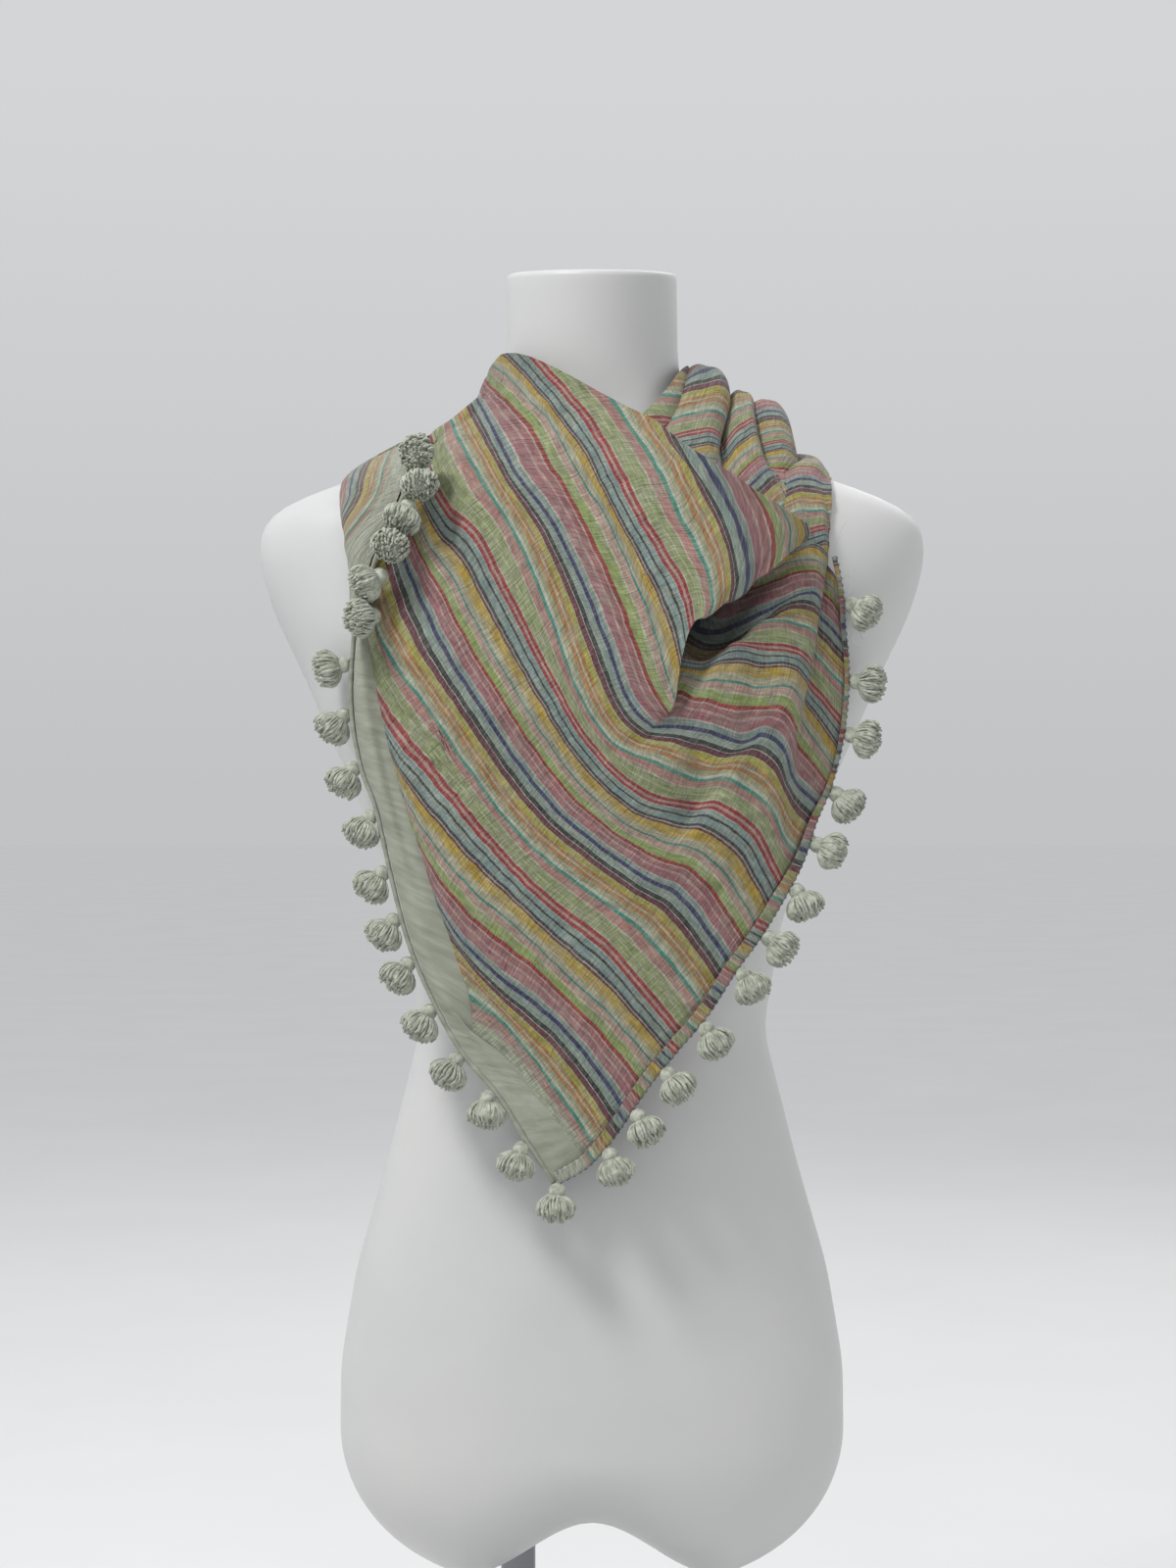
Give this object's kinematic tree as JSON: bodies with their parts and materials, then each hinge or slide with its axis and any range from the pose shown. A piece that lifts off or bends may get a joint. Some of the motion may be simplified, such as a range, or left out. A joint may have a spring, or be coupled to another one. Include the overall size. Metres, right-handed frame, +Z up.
{
  "type": "silk scarf on a torso dress form",
  "caption": "Fine-striped crinkled silk square with a tasselled edge, wound round the neck of a frosted torso dress form, with a cowl fold, a turned-back corner and a pointed front fall.",
  "frame": {"origin": "middle of the stand base's underside, on the surface that it stands on", "axes": "+Z up along the form's height, -Y the way the form faces, +X to the right as seen from the front"},
  "size_m": [0.422, 0.3, 1.0639],
  "materials": {
    "form": "frosted milky plastic, faintly translucent",
    "steel": "polished",
    "stripes": "fine crinkled silk weave in narrow stripes, low sheen",
    "reverse": "reverse of the striped weave, paler and duller",
    "sage": "plain grey-green border weave",
    "yarn": "soft matt yarn"
  },
  "bodies": {
    "root": {"back_wrap": "stripes", "cowl_facing": "reverse", "cowl_front": "stripes", "cowl_hollow": "reverse", "dress_form": "form", "flap_hem": "sage", "front_fall": "stripes", "left_hem": "sage", "neck_collar": "stripes", "right_drop": "stripes", "right_hem": "stripes", "right_hem_fall": "stripes", "sage_border": "sage", "shoulder_flap": "reverse", "shoulder_pleat_first": "stripes", "shoulder_pleat_outer": "stripes", "shoulder_pleat_second": "stripes", "shoulder_pleat_third": "stripes", "stand_base": "steel", "stand_pole": "steel", "tassel_corner": "yarn", "tassel_flap_1": "yarn", "tassel_flap_2": "yarn", "tassel_flap_3": "yarn", "tassel_flap_4": "yarn", "tassel_flap_5": "yarn", "tassel_flap_6": "yarn", "tassel_left_1": "yarn", "tassel_left_10": "yarn", "tassel_left_11": "yarn", "tassel_left_2": "yarn", "tassel_left_3": "yarn", "tassel_left_4": "yarn", "tassel_left_5": "yarn", "tassel_left_6": "yarn", "tassel_left_7": "yarn", "tassel_left_8": "yarn", "tassel_left_9": "yarn", "tassel_right_1": "yarn", "tassel_right_10": "yarn", "tassel_right_11": "yarn", "tassel_right_12": "yarn", "tassel_right_2": "yarn", "tassel_right_3": "yarn", "tassel_right_4": "yarn", "tassel_right_5": "yarn", "tassel_right_6": "yarn", "tassel_right_7": "yarn", "tassel_right_8": "yarn", "tassel_right_9": "yarn"}
  },
  "joints": []
}
